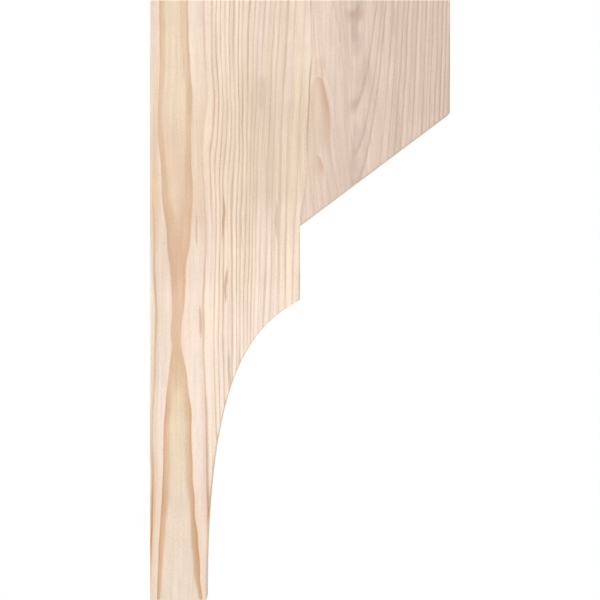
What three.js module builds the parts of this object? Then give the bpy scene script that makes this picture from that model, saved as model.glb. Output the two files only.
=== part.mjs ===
// A sawn timber corbel bracket: one flat-sided softwood block that stands under an eave, a beam or a shelf.
// Millimetres. +X points out from the wall, +Y across the thickness, +Z up.
// The origin is the centre of the flat back, which bears on the wall.
import * as THREE from "three";

// The blank: height along the wall, reach out from the wall, and thickness of the timber.
const HEIGHT = 406.4;
const REACH = 203.2;
const THICKNESS = 88.9;

// The nose: a plain upright end under the top, and the straight slope that runs back from it.
const NOSE_HEIGHT = 76.2;
const SLOPE_DROP = 76.2;

// The step: a short upright face below the slope, this far out from the wall.
const STEP_REACH = 101.6;
const STEP_HEIGHT = 50.8;

// The hollow: one curve from the step's lower corner down to the foot, upright where it ends.
const FOOT_REACH = 38.1;
const HOLLOW_START_DEGREES = 28; // below level, as the curve leaves the step
const HOLLOW_START_PULL = 0.63; // how long it keeps that direction, as a share of the hollow's depth
const HOLLOW_END_PULL = 0.735; // how long it runs upright above the foot, as a share of the hollow's height
const HOLLOW_FACETS = 56;

// The arrises on both flat sides are eased by sanding, so that they don't splinter.
const EASE = 0.8;
const EASE_FACETS = 2;

// Heights of the outline's corners, from the centre of the back.
const top = HEIGHT / 2;
const noseFoot = top - NOSE_HEIGHT;
const slopeFoot = noseFoot - SLOPE_DROP;
const stepFoot = slopeFoot - STEP_HEIGHT;
const foot = -HEIGHT / 2;

// The side outline, drawn in the plane of X and Z from the foot's back corner round to the top of the wall face.
function sideOutline() {
  const startAngle = THREE.MathUtils.degToRad(HOLLOW_START_DEGREES);
  const hollowDepth = STEP_REACH - FOOT_REACH;
  const startHandle = HOLLOW_START_PULL * hollowDepth;
  const endHandle = HOLLOW_END_PULL * (stepFoot - foot);
  const outline = new THREE.Shape();
  outline.moveTo(0, foot);
  outline.lineTo(FOOT_REACH, foot);
  outline.bezierCurveTo(
    FOOT_REACH,
    foot + endHandle,
    STEP_REACH - startHandle * Math.cos(startAngle),
    stepFoot - startHandle * Math.sin(startAngle),
    STEP_REACH,
    stepFoot,
  );
  outline.lineTo(STEP_REACH, slopeFoot);
  outline.lineTo(REACH, noseFoot);
  outline.lineTo(REACH, top);
  outline.lineTo(0, top);
  outline.closePath();
  return outline;
}

// The outline carried through the timber's thickness. The easing is taken off inside the outline, not added to it.
function corbelGeometry() {
  const geometry = new THREE.ExtrudeGeometry(sideOutline(), {
    depth: THICKNESS - 2 * EASE,
    curveSegments: HOLLOW_FACETS,
    bevelEnabled: true,
    bevelThickness: EASE,
    bevelSize: EASE,
    bevelOffset: -EASE,
    bevelSegments: EASE_FACETS,
  });
  geometry.translate(0, 0, -(THICKNESS - 2 * EASE) / 2);
  geometry.rotateX(Math.PI / 2);
  return geometry;
}

// Bare, smooth-sanded softwood with no stain or varnish.
const bareSoftwood = new THREE.MeshStandardMaterial({
  color: 0xeddccb,
  roughness: 0.65,
  metalness: 0,
});

const corbel = new THREE.Mesh(corbelGeometry(), bareSoftwood);
corbel.name = "corbel";

const bracket = new THREE.Group();
bracket.add(corbel);

export default bracket;
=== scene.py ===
import math

import bpy
import numpy as np
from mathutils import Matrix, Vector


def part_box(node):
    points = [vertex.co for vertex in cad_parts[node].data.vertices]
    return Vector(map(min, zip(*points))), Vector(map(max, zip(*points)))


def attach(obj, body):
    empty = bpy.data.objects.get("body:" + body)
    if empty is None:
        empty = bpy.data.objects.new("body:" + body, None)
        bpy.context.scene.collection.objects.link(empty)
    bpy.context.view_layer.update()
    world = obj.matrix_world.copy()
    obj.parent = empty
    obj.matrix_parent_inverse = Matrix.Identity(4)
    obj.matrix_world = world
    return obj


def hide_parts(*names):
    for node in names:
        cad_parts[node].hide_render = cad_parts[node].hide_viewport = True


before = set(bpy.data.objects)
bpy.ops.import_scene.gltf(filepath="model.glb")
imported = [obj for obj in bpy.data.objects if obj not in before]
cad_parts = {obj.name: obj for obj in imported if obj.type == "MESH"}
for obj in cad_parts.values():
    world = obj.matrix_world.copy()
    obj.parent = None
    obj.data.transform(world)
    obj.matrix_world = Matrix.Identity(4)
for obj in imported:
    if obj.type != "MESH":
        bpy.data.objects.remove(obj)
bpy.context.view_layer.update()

# The block. One sawn length of bare softwood, flat on both sides, with an upright nose, a straight slope, a
# square step and one long hollow down to a narrow foot. It is bandsawn to outline and sanded smooth.
MM = 0.001
low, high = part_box("corbel")
REACH = high.x
TOP = high.z
FOOT = low.z
HALF_THICKNESS = high.y
NOSE_FOOT = TOP - 76.2 * MM
SLOPE_FOOT = NOSE_FOOT - 76.2 * MM
STEP_FOOT = SLOPE_FOOT - 50.8 * MM
STEP_REACH = 101.6 * MM
FOOT_REACH = 38.1 * MM
HOLLOW_START = math.radians(28)
HOLLOW_START_PULL = 0.63
HOLLOW_END_PULL = 0.735
EASE = 0.6 * MM
EASE_STEPS = 3
GRID = 1.9 * MM
CURVE_STEPS = 2000
SHARP_ANGLE = math.radians(36)


def straight(start, end):
    """Points along a straight run about GRID apart, start included and end left out: each is the start plus
    its share of the way to the end."""
    start, end = np.array(start), np.array(end)
    count = max(1, round(float(np.hypot(*(end - start))) / GRID))
    share = np.arange(count)[:, None] / count
    return start + (end - start) * share


def hollow():
    """Points up the hollow about GRID apart, from the foot to the step. It is a cubic curve that starts
    upright and meets the step HOLLOW_START below level: with t from 0 to 1,
    (1-t)^3 foot + 3t(1-t)^2 above_foot + 3t^2(1-t) before_step + t^3 step."""
    pull_down = HOLLOW_START_PULL * (STEP_REACH - FOOT_REACH)
    foot = np.array([FOOT_REACH, FOOT])
    above_foot = foot + [0, HOLLOW_END_PULL * (STEP_FOOT - FOOT)]
    step = np.array([STEP_REACH, STEP_FOOT])
    before_step = step - pull_down * np.array([math.cos(HOLLOW_START), math.sin(HOLLOW_START)])
    t = np.linspace(0, 1, CURVE_STEPS)[:, None]
    curve = (1 - t) ** 3 * foot + 3 * t * (1 - t) ** 2 * above_foot
    curve += 3 * t**2 * (1 - t) * before_step + t**3 * step
    run = np.concatenate([[0], np.cumsum(np.hypot(*np.diff(curve, axis=0).T))])
    even = np.linspace(0, run[-1], round(run[-1] / GRID) + 1)[:-1]
    return np.column_stack([np.interp(even, run, curve[:, 0]), np.interp(even, run, curve[:, 1])])


def eased(loop):
    """The closed outline moved in by EASE. At each point the step is along the mean of the two runs'
    normals, lengthened at a corner so that both runs move in by the same amount."""
    along = np.roll(loop, -1, axis=0) - loop
    along /= np.hypot(*along.T)[:, None]
    inward = np.column_stack([-along[:, 1], along[:, 0]])
    before = np.roll(inward, 1, axis=0)
    corner = 1 + np.sum(inward * before, axis=1, keepdims=True)
    return loop + EASE * (inward + before) / corner


def block_mesh():
    """The block as one closed grid. The outline is a loop of points: foot, front, top and back. Each flat
    side is a grid of rows between the back and the front. The edge is the loop carried through the
    thickness, and the arrises are quarter rounds of radius EASE between the edge and the sides."""
    front = np.vstack([
        hollow(),
        straight((STEP_REACH, STEP_FOOT), (STEP_REACH, SLOPE_FOOT)),
        straight((STEP_REACH, SLOPE_FOOT), (REACH, NOSE_FOOT)),
        straight((REACH, NOSE_FOOT), (REACH, TOP)),
        [(REACH, TOP)],
    ])
    rows = len(front)
    columns = round(REACH / GRID) + 1
    share = np.linspace(0, 1, columns)
    under = np.column_stack([share * FOOT_REACH, np.full(columns, FOOT)])
    over = np.column_stack([share[::-1] * REACH, np.full(columns, TOP)])
    back = np.column_stack([np.zeros(rows), front[::-1, 1]])
    outer = np.vstack([under[:-1], front[:-1], over[:-1], back[:-1]])
    inner = eased(outer)
    count = len(outer)

    # Which loop point each border point of the side grid is.
    number = np.arange(count)
    front_at = number[columns - 1 : columns - 1 + rows]
    back_at = np.roll(number[::-1], 1)[:rows]
    grid_front = inner[front_at]
    grid_back = inner[back_at]
    side = grid_back[:, None] + (grid_front - grid_back)[:, None] * share[None, :, None]
    inner[number[: columns - 1]] = side[0, :-1]
    over_at = number[columns - 1 + rows - 1 : columns - 1 + rows - 1 + columns]
    inner[over_at] = side[-1, ::-1]

    # The loops, from the near side (-Y) round both arrises to the far side (+Y).
    turn = np.linspace(0, math.pi / 2, EASE_STEPS + 1)
    flat = HALF_THICKNESS - EASE
    through = np.linspace(-flat, flat, round(2 * flat / GRID) + 1)
    out_share = np.concatenate([np.sin(turn), np.ones(len(through) - 2), np.sin(turn)[::-1]])
    depth = np.concatenate([
        -flat - EASE * np.cos(turn), through[1:-1], flat + EASE * np.cos(turn)[::-1],
    ])
    loops = inner[None] + (outer - inner)[None] * out_share[:, None, None]
    ring_points = np.stack([
        loops[..., 0], np.broadcast_to(depth[:, None], loops.shape[:2]), loops[..., 1],
    ], axis=-1)
    layers = len(depth)
    ring_number = np.arange(layers * count).reshape(layers, count)
    following = np.roll(ring_number, -1, axis=1)
    edge_faces = np.stack([
        ring_number[:-1], following[:-1], following[1:], ring_number[1:],
    ], axis=-1).reshape(-1, 4)

    # The two sides: their borders are the first and the last loop, and their middles are new points.
    points = [ring_points.reshape(-1, 3)]
    faces = [edge_faces]
    made = layers * count
    for layer, y in ((0, -HALF_THICKNESS), (layers - 1, HALF_THICKNESS)):
        numbers = np.empty((rows, columns), int)
        numbers[:, 0] = ring_number[layer, back_at]
        numbers[:, -1] = ring_number[layer, front_at]
        numbers[0, :-1] = ring_number[layer, : columns - 1]
        numbers[-1, ::-1] = ring_number[layer, over_at]
        middle = side[1:-1, 1:-1].reshape(-1, 2)
        numbers[1:-1, 1:-1] = made + np.arange(len(middle)).reshape(rows - 2, columns - 2)
        made += len(middle)
        points.append(np.column_stack([middle[:, 0], np.full(len(middle), y), middle[:, 1]]))
        quads = np.stack([
            numbers[:-1, :-1], numbers[:-1, 1:], numbers[1:, 1:], numbers[1:, :-1],
        ], axis=-1).reshape(-1, 4)
        faces.append(quads if y < 0 else quads[:, ::-1])
    mesh = bpy.data.meshes.new("corbel_block")
    mesh.from_pydata(np.vstack(points).tolist(), [], np.vstack(faces).tolist())
    mesh.shade_smooth()
    mesh.set_sharp_from_angle(angle=SHARP_ANGLE)
    return mesh


# The growth of the wood. The block holds the hearts of two stems that grew together: the main one behind
# the leg, and a second one out under the nose. A dark seam runs between them, and each has its own rings.
# The tables go outward from ring to ring, with widths in millimetres and 1 for a full dark line.
MAIN_HEART_X = 18.3 * MM
MAIN_FIRST_RADIUS = 40.6 * MM
MAIN_INNER_RINGS = 12
MAIN_RING_WIDTHS = (
    2.8, 2.5, 1.6, 1.8, 1.8, 1.9, 2.0, 2.1, 2.0, 2.3, 2.2,
    2.0, 2.2, 2.7, 3.1, 2.8, 5.0, 4.7, 5.9, 5.3, 4.5, 4.5,
)
MAIN_LATE_WIDTHS = (
    0.5, 0.6, 1.1, 0.8, 0.9, 0.9, 0.9, 0.9, 1.1, 1.0, 1.1, 1.0,
    1.0, 1.0, 1.1, 1.2, 1.1, 1.2, 1.3, 1.4, 1.2, 1.2, 1.2,
)
MAIN_LINE_STRENGTHS = (
    1.0, 1.35, 0.8, 0.9, 1.0, 1.0, 0.75, 0.95, 1.0, 0.9, 0.85, 0.75,
    0.7, 0.65, 0.65, 0.7, 0.75, 0.9, 0.9, 0.9, 0.8, 0.6, 0.6,
)
MAIN_CREAM = (
    0.15, 0.0, 0.35, 0.4, 0.4, 0.4, 0.4, 0.45, 0.5, 0.5, 0.5, 0.5,
    0.5, 0.5, 0.5, 0.5, 0.6, 0.6, 0.6, 0.6, 0.6, 0.5, 0.5,
)
SECOND_HEART_X = 136.8 * MM
SECOND_FIRST_RADIUS = 19.0 * MM
SECOND_INNER_RINGS = 6
SECOND_RING_WIDTHS = (
    5.4, 2.7, 1.7, 5.0, 3.0, 3.5, 2.9, 2.8, 2.8, 2.7, 2.6,
    2.4, 1.8, 3.4, 3.0, 2.2, 3.0, 3.0, 3.0, 3.0, 3.0,
)
SECOND_LATE_WIDTHS = (
    1.0, 0.9, 0.8, 0.7, 1.2, 1.0, 1.1, 1.0, 1.0, 1.0, 1.0,
    1.0, 0.9, 0.8, 1.1, 1.1, 0.9, 1.0, 1.0, 1.0, 1.0, 1.0,
)
SECOND_LINE_STRENGTHS = (
    0.7, 1.1, 0.8, 0.9, 0.75, 0.6, 0.65, 0.6, 0.6, 0.65, 0.7,
    0.7, 0.8, 0.5, 1.0, 1.0, 1.0, 0.9, 0.9, 0.9, 0.9, 0.9,
)


def through_heights(heights, values, z):
    """A smooth curve through chosen values at chosen heights in millimetres: between two of them it is the
    cubic that leaves and arrives with the mean slope at each."""
    heights, values = np.array(heights) * MM, np.array(values, float)
    slope = np.gradient(values, heights)
    span = np.clip(np.searchsorted(heights, z) - 1, 0, len(heights) - 2)
    length = heights[span + 1] - heights[span]
    t = np.clip((z - heights[span]) / length, 0, 1)
    rise = t * t * (3 - 2 * t)
    leave = t * (1 - t) ** 2 * length * slope[span]
    arrive = t * t * (t - 1) * length * slope[span + 1]
    return values[span] * (1 - rise) + values[span + 1] * rise + leave + arrive


def ease_between(start, end, value):
    """0 before start, 1 after end, and t^2 (3 - 2t) between them."""
    t = np.clip((value - start) / (end - start), 0, 1)
    return t * t * (3 - 2 * t)


def wander(place, lengths, seed, waves=28):
    """A soft random field of unit spread: a sum of sine waves in random directions. Their phase turns by
    about 2.2 radians in each of the given lengths, which are in millimetres along X, Y and Z."""
    rng = np.random.default_rng(seed)
    direction = rng.normal(size=(3, waves)) / (np.array(lengths)[:, None] * MM)
    phase = rng.uniform(0, 2 * math.pi, waves)
    return np.sin(place @ direction * 2.2 + phase).sum(axis=1) * math.sqrt(2 / waves)


def ring_count(radius, first_radius, inner_rings, widths):
    """How many rings lie inside a radius: even rings up to first_radius, and then one for each width, with
    the count rising evenly across each ring."""
    inner = np.linspace(0, first_radius, inner_rings + 1)
    outer = first_radius + np.cumsum(widths) * MM
    edges = np.concatenate([inner, outer])
    return np.interp(radius, edges, np.arange(len(edges)))


def late_shares(first_radius, inner_rings, widths, late_widths):
    """The share of each ring's width that is late wood, from the last inner ring outward."""
    widths = np.concatenate([[first_radius / MM / inner_rings], widths])
    return np.minimum(np.array(late_widths) / widths, 0.5)


def main_growth(place):
    """Ring count about the main heart, by way of the distance from it:
    radius^2 = (distance across)^2 + (distance in depth)^2. The heart lies so deep behind the near side that
    the first radius meets that side half_width from the heart: depth^2 = first radius^2 - half_width^2. The
    distance across is first moved by sway and spread, leaned and squeezed."""
    x, y, z = place.T
    heights = (
        -205, -186, -163, -145, -121, -91, -64, -52, -36, -25, -13, 7, 22,
        34, 44, 58, 70, 82, 92, 103, 118, 135, 152, 163, 196, 205,
    )
    half_width = MM * through_heights(heights, (
        14.3, 13.0, 11.9, 10.9, 9.5, 9.2, 7.7, 6.2, 4.0, 3.2, 3.5, 4.6, 6.0,
        7.1, 8.0, 8.9, 10.2, 10.4, 10.7, 11.4, 12.0, 12.1, 11.3, 10.7, 10.3, 10.3,
    ), z)
    sway = MM * through_heights(heights, (
        -1.1, -1.1, -0.7, -0.5, 0.2, 0.2, 0.3, 0.0, -0.3, -0.2, 0.2, 0.6, 0.7,
        0.7, 0.7, 0.3, -0.3, -0.5, -1.0, -1.8, -2.3, -2.3, -2.1, -2.4, -2.9, -2.9,
    ), z)
    across = x - MAIN_HEART_X
    near = np.exp(-((across / (15 * MM)) ** 4))

    # The first rings in front of the heart spread further out, about 18 mm from it.
    spread = MM * through_heights(
        (-205, -122, -101, -81, -61, -40, -20, 0, 20, 40, 61, 81, 101, 122, 142, 163, 205),
        (3.5, 3.5, 3.0, 2.7, 2.4, 2.6, 2.9, 2.8, 3.1, 2.9, 2.0, 0.8, -0.4, 0.0, 0.8, 1.3, 1.0), z)
    spread = spread * np.exp(-(((across - 18 * MM) / (6.5 * MM)) ** 2))

    # The rings towards the seam lean outward as they rise. At one height they keep their place.
    unmoved_height = 116.5 * MM
    drop = unmoved_height - z
    lean_above = 0.013 * ease_between(34 * MM, 42 * MM, x) + 0.036 * ease_between(60 * MM, 82 * MM, x)
    lean_below = 0.014 * ease_between(62 * MM, 75 * MM, x) + 0.034 * ease_between(86 * MM, 102 * MM, x)
    across = across - sway * near - spread + np.where(drop < 0, lean_above, lean_below) * drop

    # The rings between the heart and the wall are squeezed, most beside the neck of the figure.
    squeeze = 0.06 + 0.09 * np.exp(-(((z + 10 * MM) / (40 * MM)) ** 2))
    across = across * (1 + squeeze * ease_between(-9 * MM, -14 * MM, across))
    heart_y = np.sqrt(MAIN_FIRST_RADIUS**2 - half_width**2) - HALF_THICKNESS
    radius = np.hypot(across, y - heart_y)

    # The rings wander a little, less near the heart, so that the outline of the lens stays where it is set.
    outer = ease_between(8 * MM, 30 * MM, np.abs(across))
    radius += 0.30 * MM * wander(place, (26, 26, 150), seed=11) * outer
    radius += 0.22 * MM * wander(place, (20, 20, 42), seed=14) * outer
    radius += 0.20 * MM * wander(place, (9, 9, 60), seed=12) * ease_between(8 * MM, 22 * MM, np.abs(across))
    radius += 0.06 * MM * wander(place, (6, 6, 20), seed=13)
    return ring_count(radius, MAIN_FIRST_RADIUS, MAIN_INNER_RINGS, MAIN_RING_WIDTHS)


def second_growth(place):
    """Ring count about the second heart. It comes nearer to the near side towards the top, with depth^2
    falling evenly with height, so its rings meet that side in nested points that open upward.
    radius^2 = across^2 + sharper + (distance in depth)^2, where sharper narrows the points. The rings are
    steeper on the side of the seam: there the distance across counts 1.05 to 5.55 times."""
    x, y, z = place.T
    depth = np.sqrt((24.4 * MM) ** 2 + 4.0 * MM * (130 * MM - z))
    across = x - SECOND_HEART_X
    across = np.where(across < 0, across * (1.05 + 4.5 * np.exp(across / (7.1 * MM))), across)
    sharper = 2.7 * MM * np.abs(across) * np.exp(-((across / (9.5 * MM)) ** 2))
    radius = np.sqrt(across**2 + sharper + (y + HALF_THICKNESS - depth) ** 2)
    radius += 0.25 * MM * wander(place, (24, 24, 110), seed=21)
    radius += 0.15 * MM * wander(place, (10, 10, 40), seed=22)
    return ring_count(radius, SECOND_FIRST_RADIUS, SECOND_INNER_RINGS, SECOND_RING_WIDTHS)


def seam_side(place):
    """Distance in front of the seam between the two stems, in metres: below 0 in the main stem. The seam's
    distance from the wall is set height by height, and grows by 0.08 of the depth behind the near side."""
    x, y, z = place.T
    seam = through_heights(
        (-20, 40, 57, 69, 85, 118, 134, 150, 167, 182, 205),
        (106, 104, 101.9, 103.8, 106.0, 106.8, 107.5, 108.2, 109.9, 109.4, 108.6), z)
    return x - seam * MM - 0.08 * (y + HALF_THICKNESS) - 0.15 * MM * wander(place, (40, 40, 30), seed=31)


# The two flames in front of the seam, narrow tongues of tan wood that point upward: name, apex out from the
# wall, apex height and spread in millimetres, how far down the tan reaches, and strength.
FLAMES = (
    ("tall_flame", 114.0, 151.7, 2.35, 72.0, 0.75),
    ("small_flame", 113.0, 98.0, 2.1, 20.0, 0.65),
)


def inside_flame(place, apex_x, apex_z, spread):
    """Distance inside a flame's edge along X, in metres. The half width is spread times the 0.35th power of
    the distance below the apex, and above the apex 0.6 of the distance is counted as outside."""
    x, y, z = place.T
    below = apex_z * MM - z
    half_width = spread * MM * (np.clip(below, 0, None) / MM) ** 0.35
    across = np.abs(x - apex_x * MM - 0.05 * (y + HALF_THICKNESS))
    inside = np.where(below > 0, half_width, 0.6 * below) - across
    return inside + 0.3 * MM * wander(place, (8, 8, 14), seed=41)


def along_rings(count, first_ring, values):
    """A value that goes smoothly from each ring's outer edge to the next: a straight run between them."""
    return np.interp(count, np.arange(len(values)) + first_ring, values)


block_data = block_mesh()
place = np.empty(len(block_data.vertices) * 3)
block_data.vertices.foreach_get("co", place)
place = place.reshape(-1, 3)
facing = np.empty(len(block_data.polygons) * 3)
block_data.polygons.foreach_get("normal", facing)
facing = facing.reshape(-1, 3)

main_count = main_growth(place)
second_count = second_growth(place)
in_front = seam_side(place)
x, y, z = place.T
second = in_front > 0


def keep(name, values, domain="POINT"):
    """Stores one number for each point or face of the block, for its finish to read."""
    kept = block_data.attributes.new(name, "FLOAT", domain)
    kept.data.foreach_set("value", np.asarray(values, np.float32))


def by_height(start, end):
    """0 at the first height in millimetres and 1 at the second, eased between them."""
    return ease_between(start * MM, end * MM, z)


def by_reach(start, end):
    """0 at the first distance from the wall in millimetres and 1 at the second, eased between them."""
    return ease_between(start * MM, end * MM, x)


def by_ring(start, end):
    """0 at the first ring count of the main stem and 1 at the second, eased between them."""
    return ease_between(start, end, main_count)


# How strong the late wood of each ring of the main stem is. The pale lens of the figure is the wood inside
# ring 12, its band included.
main_line = along_rings(main_count, MAIN_INNER_RINGS, MAIN_LINE_STRENGTHS)
outside_lens = by_ring(12.1, 12.4)
behind_heart = ease_between(MAIN_HEART_X, 12 * MM, x)
# Fainter beside the seam, and in the first ring outside the upper lens.
main_line *= 1 - 0.3 * by_height(15, 60) * by_ring(21, 23)
main_line *= 1 - 0.35 * outside_lens * by_height(50, 80) * by_ring(13.4, 13.1)
# The second line outside the lens is almost missing from the neck down.
main_line *= 1 - 0.8 * by_height(75, 40) * ease_between(0.6, 0.2, np.abs(main_count - 14))
# The lens's own band and the first line are fainter from the neck up. Under the neck the lines outside the
# lens are stronger, and at the foot they fade.
main_line *= 1 - 0.35 * by_height(-75, -55) * by_ring(13.4, 13.1)
main_line *= 1 + 0.5 * by_height(-75, -110) * by_ring(12.4, 12.8)
main_line *= 1 - 0.6 * by_height(-145, -190) * by_ring(12.3, 12.6)
# Fainter towards the hollow, between the upper lens and the wall, and in the neck.
main_line *= 1 - 0.27 * by_ring(15.5, 16) * by_height(15, -15)
main_line *= 1 - 0.65 * outside_lens * by_height(62, 80) * behind_heart
neck = np.exp(-(((z + 12 * MM) / (26 * MM)) ** 2)) * by_ring(12.8, 12.2)
main_line *= 1 - 0.6 * neck

# In the second stem the lines are weak between the seam and its heart, and near the heart below the knot.
past_heart = ease_between(-4 * MM, 3 * MM, x - SECOND_HEART_X)
knot_near = np.exp(-(((x - 138 * MM) / (9 * MM)) ** 2) - ((z - 196 * MM) / (9 * MM)) ** 2)
second_line = along_rings(second_count, SECOND_INNER_RINGS, SECOND_LINE_STRENGTHS)
second_line *= 0.22 + 0.78 * np.maximum(past_heart, knot_near)
second_line *= 0.9 - 0.3 * ease_between(32 * MM, 4 * MM, np.abs(x - SECOND_HEART_X)) * (1 - knot_near)

# How creamy, against pink, each ring of the main stem is: more between the lens and the wall, and less
# towards the hollow, at the step and beside the seam. In the second stem it is how pale the wood is: most
# near the seam and at the top.
main_cream = along_rings(main_count, MAIN_INNER_RINGS, MAIN_CREAM)
main_cream += 0.3 * by_ring(13.0, 13.4) * behind_heart
main_cream -= 0.5 * by_height(30, -5) * by_ring(15, 16)
main_cream -= 0.4 * by_reach(91, 98) * by_height(55, 40)
main_cream -= 0.6 * ease_between(-7 * MM, -2 * MM, in_front) * by_height(30, 60)
second_cream = 1 - ease_between(4 * MM, 24 * MM, in_front)
second_cream *= 0.45 + 0.55 * by_height(120, 160)

# How much light the main stem gives back: less in the outer rings above the step, least before the last.
light = 1 - 0.09 * by_height(40, 85) * by_ring(20.5, 23)
light += 0.03 * by_ring(26, 29)
# More beside the neck and under it, most in front of the heart.
past_main_heart = ease_between(MAIN_HEART_X, 32 * MM, x)
light *= 1 + by_height(60, 20) * by_height(-140, -70) * (0.03 + 0.05 * past_main_heart)
light *= 1 + 0.02 * by_height(-90, -110) * by_reach(15, 30)
# Less at the step, and in a band above the neck.
light *= 1 - 0.075 * by_height(70, 40) * by_reach(70, 91)
light *= 1 - 0.055 * by_height(65, 40) * by_height(0.0, 20) * by_reach(52, 42)
# More in the outer rings at the top, and less inside the wide part of the lens.
light *= 1 + 0.035 * by_height(150, 185) * by_ring(19, 21)
light *= 1 - 0.025 * by_height(40, 60) * by_height(125, 110) * by_ring(13.0, 12.5)
# The second stem gives back more low down by the seam, and less at the nose and about its heart.
second_light = 1 + 0.02 * by_height(95, 75) * ease_between(30 * MM, 10 * MM, in_front)
second_light *= 1 - 0.05 * by_height(118, 130) * by_reach(169, 175)
about_heart = by_reach(128, 133) * by_reach(150, 144)
second_light *= 1 - 0.04 * by_height(118, 130) * about_heart

# How tan the early wood is, in turn: along the back edge, beside the wide part of the lens, across the
# middle, low down and beside the neck.
at_back = by_reach(9, 4)
tan = at_back * through_heights(
    (-205, -120, -70, -30, 30, 60, 120, 160, 180, 205),
    (0.3, 0.35, 0.15, 0.0, 0.1, 0.7, 0.6, 0.4, 0.3, 0.3), z)
beside_lens = by_reach(25, 28) * by_reach(40, 34)
tan += 0.45 * beside_lens * by_height(40, 60) * by_height(150, 120)
across_middle = by_height(58, 75) * by_height(165, 130)
tan += across_middle * (0.15 * by_reach(28, 40) + 0.12 * by_reach(60, 72))
tan += 0.35 * (1 - at_back) * by_height(-90, -160)
beside_neck = by_reach(3, 8) * by_reach(32, 26)
tan += 0.2 * beside_neck * by_height(-60, -20) * by_height(85, 60)

# How honey coloured the wood inside the lens is: most in the neck, and fading away through the thickness.
honey = through_heights(
    (-205, -150, -100, -60, -35, -10, 25, 70, 110, 135, 205),
    (0.0, 0.0, 0.15, 0.45, 0.85, 1.0, 0.8, 0.55, 0.35, 0.1, 0.0), z)
honey *= ease_between(14 * MM, -30 * MM, y)

main_late = along_rings(main_count, MAIN_INNER_RINGS, late_shares(
    MAIN_FIRST_RADIUS, MAIN_INNER_RINGS, MAIN_RING_WIDTHS, MAIN_LATE_WIDTHS))
second_late = along_rings(second_count, SECOND_INNER_RINGS, late_shares(
    SECOND_FIRST_RADIUS, SECOND_INNER_RINGS, SECOND_RING_WIDTHS, SECOND_LATE_WIDTHS))
keep("main_growth", main_count)
keep("second_growth", second_count)
keep("seam_side", in_front / MM)
keep("late_share", np.where(second, second_late, main_late))
keep("line_strength", np.where(second, second_line, main_line))
keep("cream", np.where(second, second_cream, main_cream))
keep("light", np.where(second, second_light, light))
keep("tan", np.where(second, 0.0, tan))
keep("honey", honey)
for name, apex_x, apex_z, spread, tan_height, strength in FLAMES:
    keep(name, inside_flame(place, apex_x, apex_z, spread) / MM)
keep("end_grain", ease_between(0.15, 0.95, np.abs(facing[:, 2])), "FACE")


def tint(red, green, blue):
    """A colour as seen on a screen, 0 to 255, turned to the linear light that shaders use, by the standard
    screen curve."""
    seen = np.array([red, green, blue]) / 255
    linear = np.where(seen <= 0.04045, seen / 12.92, ((seen + 0.055) / 1.055) ** 2.4)
    return (*linear.tolist(), 1.0)


# The finish. Bare softwood, sanded and unoiled: pale early wood, tan late wood at the outer edge of each
# ring, fine fibres up the block, dark resin streaks, and rougher end grain with open pores.
PINK = tint(252, 232, 217)
CREAM = tint(253, 232, 207)
HEART_CREAM = tint(244, 223, 194)
HEART_PALE = tint(241, 221, 200)
HEART_PEACH = tint(239, 203, 174)
HEART_HONEY = tint(240, 208, 166)
DUSKY = tint(231, 208, 191)
PALE_DUSKY = tint(243, 220, 202)
TAN = tint(238, 207, 176)
LINE_TAN = tint(211, 184, 150)
LINE_ROSE = tint(216, 183, 156)
LINE_ORANGE = tint(209, 154, 98)
LINE_AMBER = tint(214, 171, 134)
LINE_DUSKY = tint(198, 170, 153)
FLAME_EDGE = tint(214, 171, 146)
FLAME_FIELD = tint(231, 205, 178)
SEAM_BROWN = tint(190, 155, 136)
STREAK_BROWN = tint(204, 168, 137)
PURPLE = tint(202, 173, 164)
KNOT_BROWN = tint(198, 169, 150)
END_TONE = tint(250, 249, 246)

finish = bpy.data.materials.new("bare_softwood")
finish.use_nodes = True
tree = finish.node_tree
tree.nodes.clear()


def node(kind, inputs=None, **options):
    """Adds one node. options are its settings; inputs fill its sockets from a value or another socket."""
    made = tree.nodes.new(kind)
    for name, value in options.items():
        setattr(made, name, value)
    for key, value in (inputs or {}).items():
        if isinstance(value, bpy.types.NodeSocket):
            tree.links.new(value, made.inputs[key])
        else:
            made.inputs[key].default_value = value
    return made


def maths(operation, *values, clamp=False):
    """One arithmetic step on numbers or sockets."""
    return node("ShaderNodeMath", dict(enumerate(values)), operation=operation, use_clamp=clamp).outputs[0]


def blend(share, first, second, way="MIX"):
    """Two colours blended by share."""
    made = node("ShaderNodeMix", {0: share, 6: first, 7: second}, data_type="RGBA", blend_type=way)
    return made.outputs[2]


def stored(name):
    """A number kept on the block's mesh."""
    return node("ShaderNodeAttribute", attribute_name=name).outputs["Fac"]


def soft_step(start, end, value):
    """0 before start and 1 after end, eased between."""
    inputs = {"Value": value, "From Min": start, "From Max": end}
    return node("ShaderNodeMapRange", inputs, interpolation_type="SMOOTHSTEP").outputs[0]


def grain_noise(scale, detail=2.0, rough=0.5, w=None):
    """Noise from 0 to 1 about 0.5, with a scale of its own, per metre, along X, Y and Z. Each w gives
    another pattern, so that neighbouring rings can differ."""
    spread = node("ShaderNodeMapping", {"Vector": here, "Scale": scale}).outputs[0]
    inputs = {"Vector": spread, "Scale": 1.0, "Detail": detail, "Roughness": rough}
    if w is None:
        return node("ShaderNodeTexNoise", inputs).outputs[0]
    return node("ShaderNodeTexNoise", {**inputs, "W": w}, noise_dimensions="4D").outputs[0]


def about_zero(value, reach):
    """Noise from 0 to 1 turned to -reach to reach."""
    return maths("MULTIPLY_ADD", value, 2 * reach, -reach)


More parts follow.
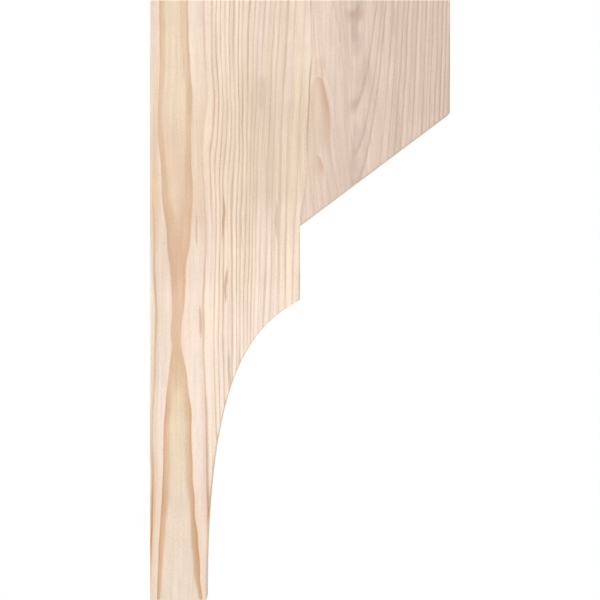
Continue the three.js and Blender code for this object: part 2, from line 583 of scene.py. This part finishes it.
def spot(middle_x, middle_z, half_width, half_height, depth):
    """A soft, slightly crooked spot on the near side, in millimetres: 1 at its middle and 0 outside its
    edge."""
    half = (half_width * MM, depth * MM, half_height * MM)
    middle = (middle_x * MM, -HALF_THICKNESS, middle_z * MM)
    inputs = {"Vector": crooked, "Location": middle, "Scale": half}
    inside = node("ShaderNodeMapping", inputs, vector_type="TEXTURE").outputs[0]
    return node("ShaderNodeTexGradient", {"Vector": inside}, gradient_type="SPHERICAL").outputs[1]


def ramp(value, *stops):
    """A smooth curve of shares through (place, share) stops."""
    made = node("ShaderNodeValToRGB", {0: value})
    made.color_ramp.interpolation = "EASE"
    for _ in stops[2:]:
        made.color_ramp.elements.new(0.5)
    for element, (stop, share) in zip(made.color_ramp.elements, stops):
        element.position = stop
        element.color = (share, share, share, 1)
    return made.outputs[0]


# Where a point is, and the same place pushed about a little, for spots with a crooked edge.
here = node("ShaderNodeTexCoord").outputs["Object"]
push = node("ShaderNodeTexNoise", {"Vector": here, "Scale": 60.0, "Detail": 2.0}).outputs[1]
push = node("ShaderNodeVectorMath", {0: push, 1: (0.5, 0.5, 0.5)}, operation="SUBTRACT").outputs[0]
push = node("ShaderNodeVectorMath", {0: push, 1: (3 * MM, 0.0, 8 * MM)}, operation="MULTIPLY").outputs[0]
crooked = node("ShaderNodeVectorMath", {0: here, 1: push}, operation="ADD").outputs[0]
across_block, _, up_block = node("ShaderNodeSeparateXYZ", {0: here}).outputs

# Which stem a point is in, and its ring count there, with a little fine raggedness.
in_second = maths("GREATER_THAN", stored("seam_side"), 0.0)
growth = node("ShaderNodeMix", {
    0: in_second, 2: stored("main_growth"), 3: stored("second_growth"),
}).outputs[0]
ragged = maths("MULTIPLY_ADD", soft_step(12.3, 13.5, growth), 0.14, 0.012)
ragged = maths("MULTIPLY", about_zero(grain_noise((380, 380, 38), 3.0, 0.6), 1.0), ragged)
growth = maths("ADD", growth, ragged)
ring = maths("FLOOR", growth)
through_ring = maths("FRACT", growth)
in_heart = maths("LESS_THAN", growth, float(MAIN_INNER_RINGS))
in_heart = maths("MULTIPLY", in_heart, maths("SUBTRACT", 1.0, in_second))

# The last LATE_PART of each count is spent on the ring's band of late wood, whatever its share of the ring.
LATE_PART = 0.4
late_share = stored("late_share")
early_share = maths("SUBTRACT", 1.0, late_share)
into_early = maths("DIVIDE", through_ring, early_share, clamp=True)
into_late = maths("DIVIDE", maths("SUBTRACT", through_ring, early_share), late_share)
into_early = maths("MULTIPLY", into_early, 1 - LATE_PART)
into_late = maths("MULTIPLY", maths("MAXIMUM", into_late, 0.0), LATE_PART)
through_ring = maths("ADD", into_early, into_late)

# Late wood darkens towards each ring's outer edge. Its breadth and strength differ from ring to ring, and
# it fades in and out along the grain.
ring_chance = node("ShaderNodeTexWhiteNoise", {"W": ring}, noise_dimensions="1D").outputs[0]
breadth = maths("MULTIPLY_ADD", ring_chance, 0.9, 0.65)
late = ramp(
    maths("POWER", through_ring, breadth),
    (0.0, 0.40), (0.08, 0.0), (0.40, 0.05), (0.64, 0.30), (0.80, 0.85), (0.90, 1.0), (1.0, 0.40))
fade = grain_noise((9, 9, 9), 2.0, w=maths("MULTIPLY", ring, 3.7))
late = maths("MULTIPLY", late, maths("MULTIPLY_ADD", soft_step(0.25, 0.62, fade), 0.6, 0.4))
line = maths("MULTIPLY", late, stored("line_strength"))

# In the main heart it is one band with a sharp outer edge. It starts sooner towards the top and low down by
# the wall, and later under the neck and low down in front.
low_down = maths("SUBTRACT", 1.0, soft_step(-0.160, -0.100, up_block))
below_neck = maths("SUBTRACT", soft_step(-0.110, -0.080, up_block), soft_step(-0.066, -0.052, up_block))
band_start = maths("MULTIPLY_ADD", soft_step(-0.020, 0.080, up_block), 0.05, -0.02)
band_start = maths("MULTIPLY_ADD", below_neck, -0.03, band_start)
low_side = maths("MULTIPLY_ADD", soft_step(0.010, 0.026, across_block), -0.10, 0.04)
band_start = maths("MULTIPLY_ADD", low_down, low_side, band_start)
into_band = maths("ADD", through_ring, band_start)
heart_band = ramp(into_band, (0.0, 0.0), (0.48, 0.0), (0.57, 0.6), (0.70, 0.78), (0.90, 1.0), (1.0, 0.92))
band_fade = maths("MULTIPLY_ADD", grain_noise((60, 60, 14), 2.0), 0.7, 0.55, clamp=True)
heart_band = maths("MULTIPLY", maths("MULTIPLY", heart_band, band_fade), stored("line_strength"))

# Outside the lens, faint false rings come and go between the lines, two to each ring.
half_ring = maths("FRACT", maths("MULTIPLY_ADD", growth, 2.0, 0.3))
false_ring = ramp(half_ring, (0.0, 0.2), (0.3, 0.0), (0.75, 1.0), (1.0, 0.2))
false_ring = maths("MULTIPLY", false_ring, soft_step(0.40, 0.65, grain_noise((70, 70, 10), 2.0, w=ring)))
false_strength = maths("MULTIPLY", soft_step(13.0, 13.4, stored("main_growth")), 0.31)
false_ring = maths("MULTIPLY", false_ring, false_strength)
line = maths("ADD", line, false_ring, clamp=True)
line = node("ShaderNodeMix", {0: in_heart, 2: line, 3: heart_band}).outputs[0]

# The early wood: pink or cream in the main stem, cream to honey in its heart, dusky in the second stem.
cloudy = grain_noise((26, 26, 6), 3.0)
ring_cloud = grain_noise((30, 30, 5), 2.0, w=maths("MULTIPLY", ring, 1.3))
creaminess = maths("ADD", stored("cream"), about_zero(ring_cloud, 1.3))
creaminess = maths("ADD", creaminess, maths("MULTIPLY_ADD", through_ring, -0.7, 0.3), clamp=True)
early = blend(creaminess, PINK, CREAM)
early = blend(maths("ADD", stored("tan"), about_zero(cloudy, 0.25), clamp=True), early, TAN)
heart_early = blend(low_down, HEART_CREAM, HEART_PALE)
neck_colour = blend(soft_step(-0.036, -0.024, up_block), HEART_HONEY, HEART_PEACH)
honey_share = maths("ADD", stored("honey"), about_zero(cloudy, 0.5), clamp=True)
early = blend(in_heart, early, blend(honey_share, heart_early, neck_colour))
early = blend(in_second, early, blend(creaminess, DUSKY, PALE_DUSKY))

# The late wood: tan or rosy by chance in each ring, amber near and in the heart, orange low down, and dusky
# in the second stem.
rosy = node("ShaderNodeTexWhiteNoise", {"W": maths("ADD", ring, 0.37)}, noise_dimensions="1D").outputs[0]
dark = blend(rosy, LINE_TAN, LINE_ROSE)
dark = blend(maths("MULTIPLY", soft_step(14.6, 13.6, growth), 0.6), dark, LINE_AMBER)
dark = blend(in_heart, dark, LINE_AMBER)
dark = blend(low_down, dark, LINE_ORANGE)
dark = blend(in_second, dark, LINE_DUSKY)

# The early wood gives back more or less light from place to place and from ring to ring.
early_light = maths("MULTIPLY_ADD", about_zero(cloudy, 1.0), 0.08, stored("light"))
early_light = maths("ADD", early_light, about_zero(ring_chance, 0.03))
early = node("ShaderNodeVectorMath", {0: early, 1: early_light}, operation="MULTIPLY").outputs[0]
wood = blend(line, early, dark)

# The two flames: a tan field, and a warm edge that is strongest at the apex and to the front.
for name, apex_x, apex_z, spread, tan_height, strength in FLAMES:
    inside = stored(name)
    within = maths("MULTIPLY", soft_step(-0.3, 0.5, inside), in_second)
    below = maths("DIVIDE", maths("SUBTRACT", apex_z * MM, up_block), tan_height * MM)
    field = maths("MULTIPLY", within, maths("SUBTRACT", 1.0, soft_step(0.4, 1.0, below)))
    edge = maths("MULTIPLY", within, maths("SUBTRACT", 1.0, soft_step(1.0, 6.5, inside)))
    edge = maths("MULTIPLY", edge, soft_step((apex_x - 4) * MM, (apex_x + 4) * MM, across_block))
    edge = maths("MULTIPLY", edge, maths("SUBTRACT", 1.0, soft_step(0.30, 0.85, below)))
    wood = blend(maths("MULTIPLY", field, 0.75 * strength), wood, FLAME_FIELD)
    wood = blend(maths("MULTIPLY", edge, strength), wood, FLAME_EDGE)

# The dark seam itself, strongest beside the tall flame.
near_seam = maths("SUBTRACT", 1.0, soft_step(0.1, 0.8, maths("ABSOLUTE", stored("seam_side"))))
seam_share = maths("SUBTRACT", soft_step(0.085, 0.125, up_block), soft_step(0.150, 0.172, up_block))
seam_share = maths("MULTIPLY_ADD", seam_share, 0.55, 0.22)
wood = blend(maths("MULTIPLY", near_seam, seam_share), wood, SEAM_BROWN)

# Resin streaks, most of them thin and in the lines, and dusky spots up the second heart. Each has its
# distance from the wall, its place above the middle of the block, half its width and half its length, in
# millimetres, and its strength.
STREAK_DEPTH = 9.0
SPOT_DEPTH = 14.0
KNOT_HEART_DEPTH = 9.0
STREAKS = (
    (31.8, 47.4, 1.1, 15, 0.55), (49.5, 55.5, 1.3, 19, 1.0), (51.3, 10.8, 1.3, 15, 0.9),
    (34.2, -13.5, 1.4, 14, 0.8), (53.8, -47.4, 1.3, 18, 0.65), (86.0, 54.2, 1.6, 17, 0.6),
    (62.6, 47.0, 0.7, 12, 0.5), (26.6, 136.0, 1.9, 19, 0.45), (75.5, 139.0, 4.5, 16, 0.22),
    (115.0, 157.0, 5.5, 11, 0.25),
)
for middle_x, middle_z, half_width, half_height, strength in STREAKS:
    mark = soft_step(0.0, 0.55, spot(middle_x, middle_z, half_width, half_height, STREAK_DEPTH))
    wood = blend(maths("MULTIPLY", mark, 0.8 * strength), wood, STREAK_BROWN)
DUSKY_SPOTS = (
    (137.3, 132.0, 4.4, 8.0, 0.32), (138.0, 92.5, 5.0, 13.0, 0.35), (138.0, 182.0, 3.4, 9.0, 0.5),
    (146.5, 152.0, 5.0, 20.0, 0.25), (166.0, 190.0, 4.0, 16.0, 0.3), (140.5, 112.0, 3.5, 12.0, 0.3),
    (140.0, 174.0, 6.0, 14.0, 0.3),
)
for middle_x, middle_z, half_width, half_height, strength in DUSKY_SPOTS:
    mark = soft_step(0.0, 0.7, spot(middle_x, middle_z, half_width, half_height, SPOT_DEPTH))
    wood = blend(maths("MULTIPLY", mark, strength), wood, PURPLE)

# The small knot at the top: a brown spot with a paler heart.
knot = maths("MULTIPLY", soft_step(0.0, 0.8, spot(138.6, 193.5, 8.5, 10.5, SPOT_DEPTH)), 0.65)
knot_heart = maths("MULTIPLY", soft_step(0.1, 0.9, spot(135.8, 199.2, 6.0, 7.5, KNOT_HEART_DEPTH)), 0.85)
wood = blend(knot, wood, KNOT_BROWN)
wood = blend(knot_heart, wood, DUSKY)

# Broad clouds of tone, fine fibres, and specks of pore.
clouds = about_zero(grain_noise((60, 60, 12), 3.0), 0.05)
clouds = maths("ADD", clouds, about_zero(grain_noise((16, 16, 70), 2.0), 0.035))
fibres = about_zero(grain_noise((620, 620, 24), 4.0, 0.65), 0.19)
specks = about_zero(grain_noise((1300, 1300, 1000), 2.0, 0.7), 0.16)
tone = maths("ADD", maths("ADD", clouds, fibres), maths("ADD", specks, 1.0))
wood = node("ShaderNodeVectorMath", {0: wood, 1: tone}, operation="MULTIPLY").outputs[0]

# End grain is a little deeper in tone, with open pores.
end_grain = stored("end_grain")
pores = grain_noise((3000, 3000, 300), 3.0, 0.7)
end_tone = blend(maths("MULTIPLY", soft_step(0.5, 0.75, pores), 0.3), END_TONE, SEAM_BROWN)
wood = blend(maths("MULTIPLY", end_grain, 0.9), wood, blend(1.0, wood, end_tone, "MULTIPLY"))

# The late wood stands a little proud and is smoother. The end grain is rougher.
relief = maths("MULTIPLY_ADD", line, 0.35, grain_noise((1300, 1300, 40), 3.0, 0.6))
relief = maths("ADD", relief, maths("MULTIPLY", end_grain, maths("MULTIPLY", pores, 1.5)))
bump = node("ShaderNodeBump", {"Height": relief, "Strength": 0.35, "Distance": 0.12 * MM})
roughness = maths("SUBTRACT", maths("MULTIPLY_ADD", end_grain, 0.15, 0.62), maths("MULTIPLY", line, 0.10))
shader = node("ShaderNodeBsdfPrincipled", {
    "Base Color": wood, "Roughness": roughness, "Normal": bump.outputs[0],
})
shader.inputs["IOR"].default_value = 1.45
shader.inputs["Specular IOR Level"].default_value = 0.35
tree.links.new(shader.outputs[0], node("ShaderNodeOutputMaterial").inputs[0])

block = bpy.data.objects.new("corbel_block", block_data)
bpy.context.scene.collection.objects.link(block)
block_data.materials.append(finish)
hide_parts("corbel")
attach(block, "root")

# The floor. A plain pale disc some way below the foot, because the bracket is fixed on a wall above it.
FLOOR_DROP = 0.28
FLOOR_RADIUS = 5.2
RIM_POINTS = 96
around = np.linspace(0, 2 * math.pi, RIM_POINTS, endpoint=False)
rim = np.column_stack([np.cos(around), np.sin(around), np.zeros(RIM_POINTS)]) * FLOOR_RADIUS
rim += [REACH / 2, 0, FOOT - FLOOR_DROP]
floor_data = bpy.data.meshes.new("floor")
floor_data.from_pydata(rim.tolist(), [], [list(range(RIM_POINTS))])
floor = bpy.data.objects.new("floor", floor_data)
bpy.context.scene.collection.objects.link(floor)
floor_paint = bpy.data.materials.new("pale_floor")
floor_paint.use_nodes = True
floor_shader = floor_paint.node_tree.nodes["Principled BSDF"]
floor_shader.inputs["Base Color"].default_value = (0.88, 0.88, 0.88, 1)
floor_shader.inputs["Roughness"].default_value = 0.9
floor_data.materials.append(floor_paint)

# The light. An even surround that the camera sees as plain white, one large soft lamp high at the front
# left, and one overhead, whose light also comes up from the floor.
SURROUND_STRENGTH = 0.57
FRONT_WATTS = 49.5
OVERHEAD_WATTS = 50
world = bpy.data.worlds.new("studio")
bpy.context.scene.world = world
world.use_nodes = True
surround = world.node_tree.nodes["Background"]
surround.inputs["Strength"].default_value = SURROUND_STRENGTH
surround.inputs["Color"].default_value = (1, 1, 1, 1)
seen = world.node_tree.nodes.new("ShaderNodeBackground")
seen.inputs["Color"].default_value = (1, 1, 1, 1)
ray = world.node_tree.nodes.new("ShaderNodeLightPath")
choose = world.node_tree.nodes.new("ShaderNodeMixShader")
world.node_tree.links.new(ray.outputs["Is Camera Ray"], choose.inputs[0])
world.node_tree.links.new(surround.outputs[0], choose.inputs[1])
world.node_tree.links.new(seen.outputs[0], choose.inputs[2])
world.node_tree.links.new(choose.outputs[0], world.node_tree.nodes["World Output"].inputs[0])


def soft_lamp(name, position, size, watts):
    """A square soft lamp that faces the block's middle: it points along (the middle - its position)."""
    data = bpy.data.lights.new(name, "AREA")
    data.size = size
    data.energy = watts
    lamp = bpy.data.objects.new(name, data)
    bpy.context.scene.collection.objects.link(lamp)
    lamp.location = position
    aim = np.array([REACH / 2, 0, 0]) - position
    lamp.rotation_euler = Vector(aim).to_track_quat("-Z", "Y").to_euler()


soft_lamp("front_lamp", (-1.8, -3.4, 1.7), 1.6, FRONT_WATTS)
soft_lamp("overhead_lamp", (-0.3, 0.6, 2.6), 1.8, OVERHEAD_WATTS)

# The camera. A long lens square to the near side, level with the block's middle, so that the side fills the
# frame's height and only a thin strip of the slope and of the hollow shows.
SENSOR_WIDTH = 36
NEAR_DISTANCE = 4.796
camera_data = bpy.data.cameras.new("camera")
camera_data.sensor_width = SENSOR_WIDTH
camera_data.lens = SENSOR_WIDTH * NEAR_DISTANCE / (TOP - FOOT)
camera = bpy.data.objects.new("camera", camera_data)
camera.location = (REACH / 2, -HALF_THICKNESS - NEAR_DISTANCE, 0)
camera.rotation_euler = (math.pi / 2, 0, 0)
camera_data.clip_start = 0.05
camera_data.clip_end = 60
bpy.context.scene.collection.objects.link(camera)
bpy.context.scene.camera = camera
bpy.context.scene.view_settings.view_transform = "Standard"
